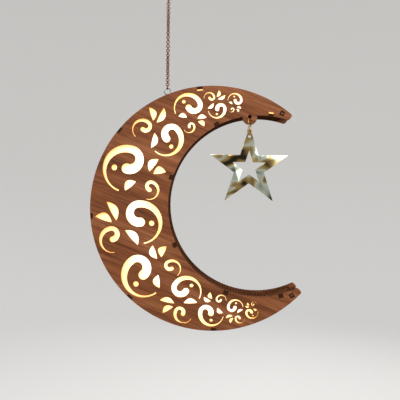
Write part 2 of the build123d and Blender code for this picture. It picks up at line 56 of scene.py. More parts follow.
def place(x, y, z):
    """World point, in metres, of a point in the lantern's frame, seen from the front."""
    return Vector((CENTRE[0] + x * cos(TILT) - y * sin(TILT), CENTRE[1] - z,
                   CENTRE[2] + x * sin(TILT) + y * cos(TILT))) * MM


def polar(radius, angle, centre=0.0):
    return (centre + radius * cos(radians(angle)), radius * sin(radians(angle)))


def circle(radius, centre, count=36):
    return [(centre[0] + radius * cos(2 * pi * i / count), centre[1] + radius * sin(2 * pi * i / count))
            for i in range(count)]


def new_object(name, mesh):
    obj = bpy.data.objects.new(name, mesh)
    bpy.context.scene.collection.objects.link(obj)
    return obj


def mesh_from(name, verts, faces):
    mesh = bpy.data.meshes.new(name)
    mesh.from_pydata(verts, [], faces)
    mesh.update()
    return mesh


def loft_faces(rings, sides, first=0, around=False):
    """Faces between rings of points, from the first point on; around joins the last ring to the first."""
    faces = []
    for i in range(rings if around else rings - 1):
        low, high = first + i * sides, first + (i + 1) % rings * sides
        for j in range(sides):
            k = (j + 1) % sides
            faces.append([low + j, high + j, high + k, low + k])
    return faces


def end_faces(rings, sides):
    """Faces that close the first and the last ring of points."""
    return [list(reversed(range(sides))), [(rings - 1) * sides + j for j in range(sides)]]


def moved(mesh, placing):
    """Moves a mesh made in millimetres to its place in the world."""
    for vertex in mesh.vertices:
        vertex.co = placing(*vertex.co)
    mesh.update()
    return mesh


def evaluated_mesh(obj):
    """Plain mesh of an object with its modifiers; the object itself is removed."""
    bpy.context.view_layer.update()
    mesh = bpy.data.meshes.new_from_object(obj.evaluated_get(bpy.context.evaluated_depsgraph_get()))
    obj.modifiers.clear()
    bpy.data.objects.remove(obj)
    return mesh


def grown(name, tree, base, values, placing):
    """Plain mesh that a node tree grows from a base mesh, in millimetres, moved to its place."""
    holder = new_object(name + "_maker", base)
    modifier = holder.modifiers.new("grow", "NODES")
    modifier.node_group = tree
    for item in tree.interface.items_tree:
        if item.in_out == "INPUT" and item.name in values:
            modifier[item.identifier] = values[item.name]
    mesh = evaluated_mesh(holder)
    mesh.name = name
    return moved(mesh, placing)


def reshaped(mesh, change, result=None):
    """Changes a mesh in edit form and writes it back, or into another mesh."""
    shape = bmesh.new()
    shape.from_mesh(mesh)
    change(shape)
    shape.to_mesh(result or mesh)
    shape.free()
    return result or mesh


def turn_outwards(shape):
    bmesh.ops.recalc_face_normals(shape, faces=shape.faces)


def rounded_edges(name, base, width, segments=2):
    """Copy of a mesh whose sharp edges are rounded over that width."""
    def merge_flats(shape):
        bmesh.ops.remove_doubles(shape, verts=shape.verts, dist=1e-6)
        bmesh.ops.dissolve_limit(shape, angle_limit=radians(0.5), verts=shape.verts, edges=shape.edges)

    copy = reshaped(base, merge_flats, bpy.data.meshes.new(name))
    copy.materials.clear()
    holder = new_object(name + "_maker", copy)
    edge = holder.modifiers.new("edge", "BEVEL")
    edge.width = width
    edge.segments = segments
    edge.limit_method = "ANGLE"
    edge.angle_limit = radians(40)
    mesh = evaluated_mesh(holder)
    mesh.name = name
    return mesh


def weld_outwards(shape):
    """Joins doubled points, then turns every face of a closed shape outwards."""
    bmesh.ops.remove_doubles(shape, verts=shape.verts, dist=1e-7)
    turn_outwards(shape)


def piece(name, mesh, finishes, replaced, body, limit=35.0):
    """Finished piece: its finishes, smooth shading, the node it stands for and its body."""
    if finishes:
        mesh.materials.clear()
        for finish in finishes:
            mesh.materials.append(finish)
    reshaped(mesh, weld_outwards)
    mesh.shade_smooth()
    mesh.set_sharp_from_angle(angle=radians(limit))
    obj = new_object(name, mesh)
    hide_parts(replaced)
    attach(obj, body)


# Materials: turn of the grain in radians, half widths of the burnt square and the clean core at a tip post
GRAIN_TURN = -0.36
BURN_HALF, CORE_HALF = 2.9, 1.0


def material(name):
    mat = bpy.data.materials.new(name)
    mat.use_nodes = True
    tree = mat.node_tree
    return mat, tree, tree.nodes["Principled BSDF"]


def set_inputs(node, values):
    """Sets inputs by name, each to a plain value or to what another node gives."""
    for label, value in values.items():
        if isinstance(value, bpy.types.NodeSocket):
            node.id_data.links.new(value, node.inputs[label])
        else:
            node.inputs[label].default_value = value


def add_node(tree, kind, values):
    """What a new node with those inputs gives, by name."""
    node = tree.nodes.new(kind)
    set_inputs(node, values)
    return node.outputs


def maths(tree, operation, first, second=None):
    """Maths on one or two fields or numbers."""
    node = tree.nodes.new("ShaderNodeMath")
    node.operation = operation
    set_inputs(node, {0: first} if second is None else {0: first, 1: second})
    return node.outputs["Value"]


def split(tree, vector):
    """X, Y and Z of a vector, by name."""
    return add_node(tree, "ShaderNodeSeparateXYZ", {"Vector": vector})


def texture_coords(tree, kind="Object"):
    return add_node(tree, "ShaderNodeTexCoord", {})[kind]


def ramp(tree, value, stops):
    """Colour that a value picks between stops."""
    node = tree.nodes.new("ShaderNodeValToRGB")
    set_inputs(node, {"Fac": value})
    bar = node.color_ramp
    while len(bar.elements) < len(stops):
        bar.elements.new(0.5)
    for element, (where, colour) in zip(bar.elements, stops):
        element.position = where
        element.color = (*colour, 1.0)
    return node.outputs["Color"]


def object_coords(tree, scale=(1.0, 1.0, 1.0), turn=(0, 0, 0), shift=(0, 0, 0)):
    """Object coordinates turned first, then stretched and shifted."""
    facing = add_node(tree, "ShaderNodeMapping", {"Vector": texture_coords(tree), "Rotation": turn})
    stretch = {"Vector": facing["Vector"], "Scale": scale, "Location": shift}
    return add_node(tree, "ShaderNodeMapping", stretch)["Vector"]


def noise(tree, vector, scale, detail, distortion=0.0, roughness=0.55):
    values = {"Vector": vector, "Scale": scale, "Detail": detail, "Roughness": roughness,
              "Distortion": distortion}
    return add_node(tree, "ShaderNodeTexNoise", values)["Fac"]


def multiplied(tree, first, second, share=1.0):
    """First colour, multiplied by that share of the second."""
    node = tree.nodes.new("ShaderNodeMix")
    node.data_type = "RGBA"
    node.blend_type = "MULTIPLY"
    set_inputs(node, {"Factor": share, 6: first, 7: second})
    return node.outputs[2]


def tint_base(tree, tint):
    """Multiplies the colour that a material already has by a tint."""
    base = tree.nodes["Principled BSDF"].inputs["Base Color"]
    tree.links.new(multiplied(tree, base.links[0].from_socket, tint), base)


def relief_of(tree, height, strength, distance):
    values = {"Height": height, "Strength": strength, "Distance": distance}
    return add_node(tree, "ShaderNodeBump", values)["Normal"]


def wood_material(name, dark, middle, light, shift=(0, 0, 0), shine=0.2):
    """Walnut veneer: broad figure, streaks and fine pores, all drawn out along X."""
    mat, tree, shader = material(name)

    def grain(fineness, *values):
        coords = object_coords(tree, (1.0, fineness, fineness), (0, GRAIN_TURN, 0), shift)
        return noise(tree, coords, *values)

    figure = grain(7.0, 6.0, 4.0, 1.4)
    streaks = grain(22.0, 13.0, 4.0, 0.7, 0.6)
    pores = grain(40.0, 30.0, 3.0, 0.3, 0.7)
    tone = ramp(tree, figure, [(0.28, dark), (0.50, middle), (0.74, light)])
    streak_tone = ramp(tree, streaks, [(0.34, (0.58, 0.51, 0.46)), (0.50, (0.94, 0.92, 0.90)),
                                       (0.68, (1.20, 1.18, 1.15))])
    pore_tone = ramp(tree, pores, [(0.36, (0.45, 0.40, 0.36)), (0.52, (1.0, 1.0, 1.0))])
    colour = multiplied(tree, multiplied(tree, tone, streak_tone, 0.85), pore_tone, 0.6)
    rough = add_node(tree, "ShaderNodeMapRange", {"Value": streaks, "To Min": 0.62, "To Max": 0.48})
    set_inputs(shader, {"Base Color": colour, "Roughness": rough["Result"],
                        "Specular IOR Level": shine, "Normal": relief_of(tree, pores, 0.12, 0.4 * MM)})
    return mat


def burnt_mask(tree, angle):
    """One in the square ring burnt round the core of a tip post, seen along Y, and none elsewhere."""
    mapping = tree.nodes.new("ShaderNodeMapping")
    mapping.vector_type = "TEXTURE"
    set_inputs(mapping, {"Vector": texture_coords(tree),
                         "Location": place(*polar(post_radius, angle, MID_X), 0),
                         "Rotation": (0, -(radians(angle) + TILT), 0)})
    apart = split(tree, mapping.outputs["Vector"])
    across = maths(tree, "MAXIMUM", maths(tree, "ABSOLUTE", apart["X"]),
                   maths(tree, "ABSOLUTE", apart["Z"]))
    inside = maths(tree, "LESS_THAN", across, BURN_HALF * MM)
    return maths(tree, "MULTIPLY", inside, maths(tree, "GREATER_THAN", across, CORE_HALF * MM))


def burn_round_posts(mat):
    """Darkens a wood where the laser burnt it round the two posts."""
    tree = mat.node_tree
    mask = maths(tree, "ADD", burnt_mask(tree, POST_ANGLE), burnt_mask(tree, -POST_ANGLE))
    tint_base(tree, ramp(tree, mask, [(0.0, (1.0, 1.0, 1.0)), (1.0, (0.10, 0.055, 0.04))]))


def worn_material(name, colour, roughness, metallic=0.0, grain=2.0, spread=0.2, relief=0.0, glow=None,
                  shine=0.5):
    """Worked surface with a grain in millimetres: uneven tone and polish, fine relief, and an emitted tint,
    which is painted glow where the surface is no lamp.
    """
    mat, tree, shader = material(name)
    cloud = noise(tree, object_coords(tree), 1.0 / (grain * MM), 3.0, 0.4)
    dark, light = [tuple(c * share for c in colour) for share in (1 - spread, 1 + spread)]
    tone = ramp(tree, cloud, [(0.30, dark), (0.50, colour), (0.70, light)])
    fine = noise(tree, object_coords(tree, turn=(0.4, 0.2, 0.1)), 5.0 / (grain * MM), 2.0)
    polish = ramp(tree, fine, [(0.30, (roughness * 0.75,) * 3), (0.70, (roughness * 1.25,) * 3)])
    set_inputs(shader, {"Base Color": tone, "Roughness": polish, "Metallic": metallic,
                        "Specular IOR Level": shine})
    if relief:
        set_inputs(shader, {"Normal": relief_of(tree, fine, relief, 0.05 * MM)})
    if glow:
        tint, strength = glow
        warmth = ramp(tree, cloud, [(0.30, tuple(c * 0.8 for c in tint)), (0.70, tint)])
        set_inputs(shader, {"Emission Color": warmth, "Emission Strength": strength})
    return mat


def show_plies(mat):
    """Shows the paler core layer of the sheet along its cut edges, by the depth from the lantern's middle."""
    tree = mat.node_tree
    apart = split(tree, texture_coords(tree))
    depth = maths(tree, "ABSOLUTE", maths(tree, "SUBTRACT", apart["Y"], CENTRE[1] * MM))
    from_core = maths(tree, "ABSOLUTE", maths(tree, "SUBTRACT", depth, (FRONT_Z - PLY / 2) * MM))
    share = maths(tree, "DIVIDE", from_core, PLY / 2 * MM)
    tint_base(tree, ramp(tree, share, [(0.30, (3.0, 2.9, 2.8)), (0.38, (1.0, 1.0, 1.0))]))


def mirror_material(name):
    """Gold mirror acrylic, not quite flat or even: wavy reflections, pale and smoky painted reflections in
    its colour, uneven gold.
    """
    mat, tree, shader = material(name)
    painted_reflection_patches = noise(tree, object_coords(tree, (1.0, 1.0, 1.3), (0, 0.5, 0), (0.9, 0, 0.4)), 30.0, 1.0, 1.2)
    # Pale and smoky stops are painted reflections; the golden ones between are the coating's uneven tone
    tone = ramp(tree, painted_reflection_patches, [(0.34, (0.035, 0.028, 0.016)), (0.43, (0.30, 0.20, 0.075)),
                                (0.51, (0.46, 0.35, 0.15)), (0.57, (0.66, 0.70, 0.58)),
                                (0.66, (0.42, 0.47, 0.38)), (0.76, (0.05, 0.045, 0.03))])
    waves = noise(tree, object_coords(tree), 30.0, 1.0, 0.8)
    set_inputs(shader, {"Base Color": tone, "Metallic": 1.0, "Roughness": 0.15,
                        "Normal": relief_of(tree, waves, 0.3, 4.0 * MM)})
    return mat


def distance_in_face(tree, apart, spot):
    """Distance, in the plane of the crescent, from a point of the world."""
    dx = maths(tree, "SUBTRACT", apart["X"], spot.x)
    dz = maths(tree, "SUBTRACT", apart["Z"], spot.z)
    square = maths(tree, "ADD", maths(tree, "MULTIPLY", dx, dx), maths(tree, "MULTIPLY", dz, dz))
    return dx, dz, maths(tree, "SQRT", square)


# Painted glow of the sheet: radius of the brightest line, width of the painted shade at the bay, lamps in a
# full turn, fall-off of the painted light
HOT_RADIUS = (OUTER_R + BAY_R) / 2 - 5.0
PAINTED_SHADE_EDGE = 5.6
LAMPS, LAMP_SHARE = 33.0, 0.07
FALL_OFF, TIP_FALL_OFF = 26.0, 1.8
PAINTED_GLOW_STRENGTH, PAINTED_SHADE_DEPTH = 1.35, 0.98


def painted_glow_material(name):
    """Sheet with painted light from a string of lamps behind: white along the band, golden outside, painted
    shade at the bay.
    """
    mat, tree, shader = material(name)
    apart = split(tree, texture_coords(tree))
    # Painted light: emission brightest along a line of the band, rippled by the lamps, falling off outwards
    # and towards the tips
    dx, dz, reach = distance_in_face(tree, apart, place(MID_X, 0, 0))
    off = maths(tree, "ABSOLUTE", maths(tree, "SUBTRACT", reach, HOT_RADIUS * MM))
    beads = maths(tree, "COSINE", maths(tree, "MULTIPLY", maths(tree, "ARCTAN2", dz, dx), LAMPS))
    level = maths(tree, "SUBTRACT", maths(tree, "MULTIPLY", off, FALL_OFF),
                  maths(tree, "MULTIPLY", beads, LAMP_SHARE))
    tipwards = maths(tree, "MAXIMUM", maths(tree, "DIVIDE", dx, reach), 0.0)
    level = maths(tree, "ADD", level, maths(tree, "MULTIPLY", tipwards, TIP_FALL_OFF))
    tone = ramp(tree, level, [(0.10, (1.0, 0.95, 0.76)), (0.34, (1.0, 0.80, 0.36)),
                              (0.62, (1.0, 0.60, 0.15)), (0.95, (0.80, 0.38, 0.07))])
    # Painted shade along the bay: glow and base colour go dark there, except in the open upper corner
    bay_dx, bay_dz, bay_reach = distance_in_face(tree, apart, place(BAY_X, 0, 0))
    painted_shade_zone = maths(tree, "LESS_THAN", bay_reach, (BAY_R + PAINTED_SHADE_EDGE) * MM)
    open_corner = maths(tree, "MULTIPLY", maths(tree, "GREATER_THAN", bay_dx, 0.0),
                        maths(tree, "GREATER_THAN", bay_dz, 0.0))
    painted_shade = maths(tree, "MULTIPLY", painted_shade_zone, maths(tree, "SUBTRACT", 1.0, open_corner))
    lit = maths(tree, "SUBTRACT", 1.0, maths(tree, "MULTIPLY", painted_shade, PAINTED_SHADE_DEPTH))
    # Base colour: the pale sheet, near black in the painted shade
    sheet = ramp(tree, painted_shade, [(0.0, (0.9, 0.85, 0.72)), (1.0, (0.035, 0.016, 0.008))])
    set_inputs(shader, {"Base Color": sheet, "Roughness": 0.6, "Emission Color": tone,
                        "Emission Strength": maths(tree, "MULTIPLY", lit, PAINTED_GLOW_STRENGTH)})
    return mat


WALNUT = (0.165, 0.049, 0.015), (0.288, 0.094, 0.033), (0.425, 0.165, 0.069)
# The walls' walnut is a darker copy of the panels' walnut: painted shade on the walls
WALL_WALNUT_PAINTED_SHADE = (0.075, 0.027, 0.012), (0.130, 0.048, 0.021), (0.190, 0.076, 0.035)
END_WALNUT = (0.140, 0.050, 0.018), (0.250, 0.092, 0.036), (0.350, 0.150, 0.064)
front_wood = wood_material("walnut_front", *WALNUT)
back_wood = wood_material("walnut_back", *WALNUT, (0.31, 0.0, 0.17))
painted_shade_wall_wood = wood_material("walnut_wall_painted_shade", *WALL_WALNUT_PAINTED_SHADE, shine=0.0)
post_wood = wood_material("walnut_end", *END_WALNUT)
burnt_edge = worn_material("burnt_edge", (0.050, 0.017, 0.006), 0.75, grain=1.2, spread=0.55, relief=0.4,
                           shine=0.05)
show_plies(burnt_edge)
# Cut edges of the front's openings: golden wood with a painted glow, emission for the light from inside
painted_glow_edge = worn_material("painted_glow_edge", (0.42, 0.20, 0.05), 0.7, grain=1.2, spread=0.4, relief=0.3,
                         glow=((1.0, 0.55, 0.12), 0.35))
# The diffuser sheet glows though it is no lamp: its light is painted in as emission
glow = painted_glow_material("painted_glow_sheet")
gold_mirror = mirror_material("gold_mirror")
copper = worn_material("copper_wire", (0.21, 0.088, 0.045), 0.34, metallic=1.0, grain=3.0, spread=0.45)
brass = worn_material("brass_wire", (0.60, 0.35, 0.075), 0.2, metallic=1.0, grain=3.0)
nickel = worn_material("nickel_wire", (0.34, 0.33, 0.32), 0.20, metallic=1.0, grain=3.0)
case_plastic = worn_material("case_black", (0.022, 0.022, 0.024), 0.45, grain=1.6, spread=0.25, relief=0.35)
cover_plastic = worn_material("cover_black", (0.030, 0.030, 0.032), 0.5, grain=1.6, spread=0.25, relief=0.45)
knob_plastic = worn_material("knob_white", (0.68, 0.68, 0.66), 0.4, grain=2.5, spread=0.05, relief=0.1)
holder_plastic = worn_material("holder_white", (0.72, 0.72, 0.69), 0.5, grain=2.5, spread=0.06, relief=0.1)
bead_plastic = worn_material("lit_bead", (0.9, 0.8, 0.6), 0.3, grain=1.5, spread=0.1,
                             glow=((1.0, 0.8, 0.45), 4.0))
wire_plastic = worn_material("wire_cover", (0.67, 0.67, 0.63), 0.5, grain=4.0, spread=0.08, relief=0.1)
steel = worn_material("plated_steel", (0.58, 0.58, 0.58), 0.32, metallic=1.0, grain=1.0, spread=0.15,
                      relief=0.15)
cell_sleeve = worn_material("cell_sleeve", (0.10, 0.11, 0.13), 0.35, metallic=0.3, grain=3.0, spread=0.15,
                            relief=0.1)

cad_finishes = {
    "upper_tip_post": post_wood, "lower_tip_post": post_wood, "anchor_block": post_wood,
    "diffuser_sheet": glow, "switch_body": case_plastic,
    "led_holders": holder_plastic, "led_beads": bead_plastic, "led_wire": wire_plastic,
    "contact_leaves": steel, "battery_cells": cell_sleeve,
}
for node_name, finish in cad_finishes.items():
    mesh = nodes[node_name].data
    mesh.materials.clear()
    mesh.materials.append(finish)

# Panels: the outline and the fretwork as fine closed lines, filled and given the sheet's thickness
OUTER_TABS = (92.6, 136.3, 180.0, 223.7, 267.4)
INNER_TABS = (79.2, 114.0, 158.4, 201.6, 246.0, 280.8)
OUTER_TAB, INNER_TAB = 7.0, 6.0
OUTER_NOTCH, INNER_NOTCH = PLY + 2 * GAP, 5.0
LOOSE_NOTCH = 1.6
LUG_R = 8.85
LUG_ANGLE = 92.5
LUG_DROP = 1.9
LUG_STEPS = 40
LUG_HOLE_R = 2.4
LUG_HOLE_RISE = 0.8
POST_SIDE = 4.2
POST_ANGLE = 60.5


def band(angle):
    """Half height and middle radius of the crescent's band, seen from the middle circle's centre."""
    a = radians(angle)
    far = -MID_X * cos(a) + sqrt(OUTER_R**2 - (MID_X * sin(a)) ** 2)
    near = MID_X * cos(a) + sqrt(BAY_R**2 - (MID_X * sin(a)) ** 2)
    return (far - near) / 2, (far + near) / 2


def bay_tip():
    """Point where the cut of the upper tip meets the bay, and its angle from the bay's centre."""
    a = radians(TIP_ANGLE)
    x, y = polar(BAY_X * cos(a) + sqrt(BAY_R**2 - (BAY_X * sin(a)) ** 2), TIP_ANGLE)
    return (x, y), degrees(atan2(y, x - BAY_X))


def turned(points, angle, shift):
    c, s = cos(radians(angle)), sin(radians(angle))
    return [(shift[0] + x * c - y * s, shift[1] + x * s + y * c) for x, y in points]


def rectangle(half_length, half_width):
    return [(-half_length, -half_width), (half_length, -half_width),
            (half_length, half_width), (-half_length, half_width)]


def notched_arc(radius, centre, span, tabs, width, cut, loose=(), step=1.0):
    """Arc over a span of angles with a notch at each tab; cut is negative for notches towards the centre."""
    side = width / 2 + GAP
    half = degrees(asin(side / radius))
    edge = sqrt(radius**2 - side**2)
    angle, last = span
    points = []
    for tab in tabs:
        while angle < tab - half:
            points.append(polar(radius, angle, centre))
            angle += step
        floor = radius + cut * (LOOSE_NOTCH if tab in loose else 1.0)
        corners = [(edge, -side), (floor, -side), (floor, side), (edge, side)]
        points += turned(corners, tab, (centre, 0))
        angle = tab + half + 0.3 * step
    while angle < last:
        points.append(polar(radius, angle, centre))
        angle += step
    points.append(polar(radius, last, centre))
    return points


def rounded_corner(before, corner, after, radius, steps=8):
    """Points of a round of that radius in the corner between two edges."""
    corner = Vector(corner)
    first = (Vector(before) - corner).normalized()
    last = (Vector(after) - corner).normalized()
    half = first.angle(last) / 2
    middle = corner + (first + last).normalized() * (radius / sin(half))
    start = corner + first * (radius / tan(half)) - middle
    turn = (pi - 2 * half) * (1 if first.x * last.y - first.y * last.x < 0 else -1)
    points = []
    for i in range(steps + 1):
        points += turned([start], degrees(turn * i / steps), middle)
    return points


def panel_outline(with_lug):
    """Edge of a panel with its notches and rounded tips, and with the star's lug or without."""
    upper_inner, tip_from_bay = bay_tip()
    lower_inner = (upper_inner[0], -upper_inner[1])
    upper_corner, lower_corner = polar(OUTER_R, TIP_ANGLE), polar(OUTER_R, -TIP_ANGLE)
    first = TIP_ANGLE + degrees(TIP_ROUND / OUTER_R)
    outer = notched_arc(OUTER_R, 0.0, (first, 360 - first), OUTER_TABS, OUTER_TAB, -OUTER_NOTCH,
                        OUTER_TABS[:1] if with_lug else ())
    lug_far = BAY_R - LUG_DROP
    lug_centre = polar(lug_far, LUG_ANGLE, BAY_X)
    half_lug = degrees(acos((BAY_R**2 + lug_far**2 - LUG_R**2) / (2 * BAY_R * lug_far)))
    lug_first, lug_last = LUG_ANGLE - half_lug, LUG_ANGLE + half_lug
    upper_tabs = [t for t in INNER_TABS if t < LUG_ANGLE]
    lower_tabs = [t for t in INNER_TABS if t > LUG_ANGLE]
    first = tip_from_bay + degrees(0.8 * TIP_ROUND / BAY_R)
    inner = notched_arc(BAY_R, BAY_X, (first, lug_first), upper_tabs, INNER_TAB, INNER_NOTCH)
    joins = [polar(BAY_R, angle, BAY_X) for angle in (lug_first, lug_last)]
    start, end = [degrees(atan2(y - lug_centre[1], x - lug_centre[0])) for x, y in joins]
    while end > start:
        end -= 360
    for i in range(1, LUG_STEPS if with_lug else 1):
        t = radians(start + (end - start) * i / LUG_STEPS)
        inner.append((lug_centre[0] + LUG_R * cos(t), lug_centre[1] + LUG_R * sin(t)))
    inner += notched_arc(BAY_R, BAY_X, (lug_last, 360 - first), lower_tabs, INNER_TAB, INNER_NOTCH)
    lower_round = rounded_corner(outer[-1], lower_corner, lower_inner, TIP_ROUND)
    lower_round += rounded_corner(lower_corner, lower_inner, inner[-1], TIP_ROUND)
    upper_round = rounded_corner(inner[0], upper_inner, upper_corner, TIP_ROUND)
    upper_round += rounded_corner(upper_inner, upper_corner, outer[0], TIP_ROUND)
    return outer + lower_round + inner[::-1] + upper_round


def half_turn(start, end, rise, steps):
    """Points of a half circle between two places on X, on the upper side where rise is 1."""
    middle, reach = (start + end) / 2, (end - start) / 2
    turns = [pi * i / steps for i in range(steps)]
    return [(middle - reach * cos(t), rise * abs(reach) * sin(t)) for t in turns]


def scroll(size):
    """Closed line of a curled tendril made of half circles, from its tail round its crown to its head."""
    tail, tip, crown = -size, 0.06 * size, size
    swell, curl, head = 0.32 * size, 0.60 * size, 0.42 * size
    end = crown - 2 * curl
    outline = half_turn(tail, crown, 1, 30) + half_turn(crown, end, -1, 24)
    outline += half_turn(end, end + head, 1, 14) + half_turn(end + head, crown - swell, -1, 16)
    return outline + half_turn(crown - swell, tail + tip, 1, 28) + [(tail + tip, 0)]


def leaf(length, width, bend):
    steps = [i / 14 for i in range(1, 14)]
    upper = [(length * t, 4 * (bend + width / 2) * t * (1 - t)) for t in steps]
    lower = [(length * t, 4 * (bend - width / 2) * t * (1 - t)) for t in reversed(steps)]
    return [(0, 0)] + upper + [(length, 0)] + lower


# Fretwork: its span and pitch along the band, and the shapes of a repeat as shares of the room
FRET_MARGIN = 3.5
FRET_START, FRET_END, FRET_STEP = 87.0, 276.0, 1.60
MAIN_SCROLL, MAIN_SHIFT = 0.74, 0.30
SMALL_SCROLL, SMALL_SHIFT, CURL_SHIFT = 0.38, 0.60, 0.38
BERRY_R, BERRY_X, BERRY_Y = 0.12, -0.12, 0.50
LEAF_WIDTH, LEAF_BEND = 0.23, 0.09
LEAF_FAN = ((0.16, -0.40, -18, 0.60), (0.13, -0.54, -62, 0.50), (-0.66, 0.12, -32, 0.56))
FRET_OUTER, FRET_INNER = (1.0, 0.80), (0.88, 1.05)


def fret_unit(room, grand, lesser):
    """Closed lines of one repeat: a grand scroll above X, a lesser one and leaves below."""
    size = MAIN_SCROLL * grand * room
    small = scroll(SMALL_SCROLL * lesser * room)
    lines = [turned(scroll(size), 0, (0, MAIN_SHIFT * room)),
             circle(BERRY_R * size, (BERRY_X * size, MAIN_SHIFT * room + BERRY_Y * size), 24),
             [(x - CURL_SHIFT * room, -y - SMALL_SHIFT * room) for x, y in small]]
    for x, y, aim, length in LEAF_FAN:
        blade = leaf(length * lesser * room, LEAF_WIDTH * room, LEAF_BEND * room)
        lines.append(turned(blade, aim, (x * room, y * room)))
    return lines


def fret_lines():
    """Closed lines of the whole fretwork, each repeat on the other side of the band's middle."""
    lines = []
    angle, side = FRET_START, 1
    while angle < FRET_END:
        half_band, radius = band(angle)
        room = half_band - PLY - FRET_MARGIN
        for line in fret_unit(room, *(FRET_OUTER if side > 0 else FRET_INNER)):
            line = [(x, side * y) for x, y in line]
            lines.append(turned(line, angle - 90, polar(radius, angle, MID_X)))
        half_step = degrees(FRET_STEP * room / radius) / 2
        ahead, ahead_radius = band(angle + 2 * half_step)
        angle += half_step + degrees(FRET_STEP * (ahead - PLY - FRET_MARGIN) / ahead_radius) / 2
        side = -side
    return lines


def filled_sheet(name, lines, low, high):
    """Flat sheet between two depths of the lantern frame, filled between an outline and its holes."""
    curve = bpy.data.curves.new(name + "_lines", "CURVE")
    curve.dimensions = "2D"
    curve.fill_mode = "BOTH"
    curve.extrude = (high - low) / 2
    for line in lines:
        spline = curve.splines.new("POLY")
        spline.points.add(len(line) - 1)
        for point, (x, y) in zip(spline.points, line):
            point.co = (x, y, 0, 1)
        spline.use_cyclic_u = True
    mesh = evaluated_mesh(new_object(name + "_lines", curve))
    bpy.data.curves.remove(curve)
    middle = (low + high) / 2
    return moved(mesh, lambda x, y, z: place(x, y, middle + z))


# Battery case: its place on the back panel, and the holes that it needs there
CASE_ORIGIN = (-42.475, 17.8, -284.795)
CASE_TURN = radians(98.0)
CASE_LENGTH, CASE_WIDTH = 74.2, 34.4
SCREW_ALONG, SCREW_ACROSS = 37.1, 40.4
SCREW_HOLE_R = 1.3


def place_case(x, y, z):
    """World point of a point in the case's frame: X along the case, Z rearwards from the back face."""
    c, s = cos(CASE_TURN), sin(CASE_TURN)
    return Vector((CASE_ORIGIN[0] + x * c + y * s, CASE_ORIGIN[1] + z, CASE_ORIGIN[2] + x * s - y * c)) * MM


def case_to_face(x, y):
    """Point of the case's frame in the lantern's frame."""
    spot = place_case(x, y, 0) / MM
    dx, dz = spot.x - CENTRE[0], spot.z - CENTRE[2]
    return (dx * cos(TILT) + dz * sin(TILT), dz * cos(TILT) - dx * sin(TILT))


post_radius = band(POST_ANGLE)[1]
for finish in (front_wood, back_wood, post_wood):
    burn_round_posts(finish)
post_hole = rectangle(POST_SIDE / 2 + GAP, POST_SIDE / 2 + GAP)
post_holes = [turned(post_hole, a, polar(post_radius, a, MID_X)) for a in (POST_ANGLE, -POST_ANGLE)]
lug_hole = circle(LUG_HOLE_R, polar(BAY_R - LUG_DROP + LUG_HOLE_RISE, LUG_ANGLE, BAY_X))
case_hole = [case_to_face(x, y) for x, y in rectangle(CASE_LENGTH / 2 + GAP, CASE_WIDTH / 2 + GAP)]
screw_holes = [circle(SCREW_HOLE_R, case_to_face(x * SCREW_ALONG / 2, y * SCREW_ACROSS / 2), 20)
               for x in (-1, 1) for y in (-1, 1)]
front_lines = [panel_outline(True), lug_hole] + post_holes + fret_lines()
back_lines = [panel_outline(False), case_hole] + post_holes + screw_holes
front_mesh = filled_sheet("front_fretted", front_lines, FRONT_Z - PLY, FRONT_Z)
back_mesh = filled_sheet("back_plain", back_lines, -FRONT_Z, PLY - FRONT_Z)

# Finishes of a panel: the face's wood, burnt edges at the rims, and edges with a painted glow in the front's
# openings
FACE, BURNT, PAINTED_GLOW_SLOT = 0, 1, 2
RIM_SPARE, NOTCH_SPARE = 1.5, 0.3
crescent_centre, bay_centre = place(0, 0, 0), place(BAY_X, 0, 0)
rim = (PLY + RIM_SPARE) * MM
for mesh, face_wood, opening in ((front_mesh, front_wood, PAINTED_GLOW_SLOT), (back_mesh, back_wood, BURNT)):
    mesh.materials.clear()
    for finish in (face_wood, burnt_edge, painted_glow_edge):
        mesh.materials.append(finish)
    for face in mesh.polygons:
        if abs(face.normal.y) > 0.5:
            face.material_index = FACE
            continue
        centre = face.center.copy()
        centre.y = crescent_centre.y
        bay_rim = rim if centre.z > bay_centre.z else (INNER_NOTCH + NOTCH_SPARE) * MM
        at_rim = ((centre - crescent_centre).length > OUTER_R * MM - rim
                  or (centre - bay_centre).length < BAY_R * MM + bay_rim)
        face.material_index = BURNT if at_rim else opening
piece("back_plain", back_mesh, (), "back_panel", "lantern")
piece("front_fretted", front_mesh, (), "front_panel", "lantern")

# Bent walls: one period of slits, repeated along a flat strip, which is then bent round its circle
SLIT, SLIT_MARGIN, WALL_HALF = 0.9, 3.0, FRONT_Z - PLY
OUTER_PITCH, INNER_PITCH = 5.2, 3.6
TIP_BARE = 7.5
TAB_ROOT, BURN_DEPTH = WALL_HALF - 0.05, WALL_HALF + 0.1


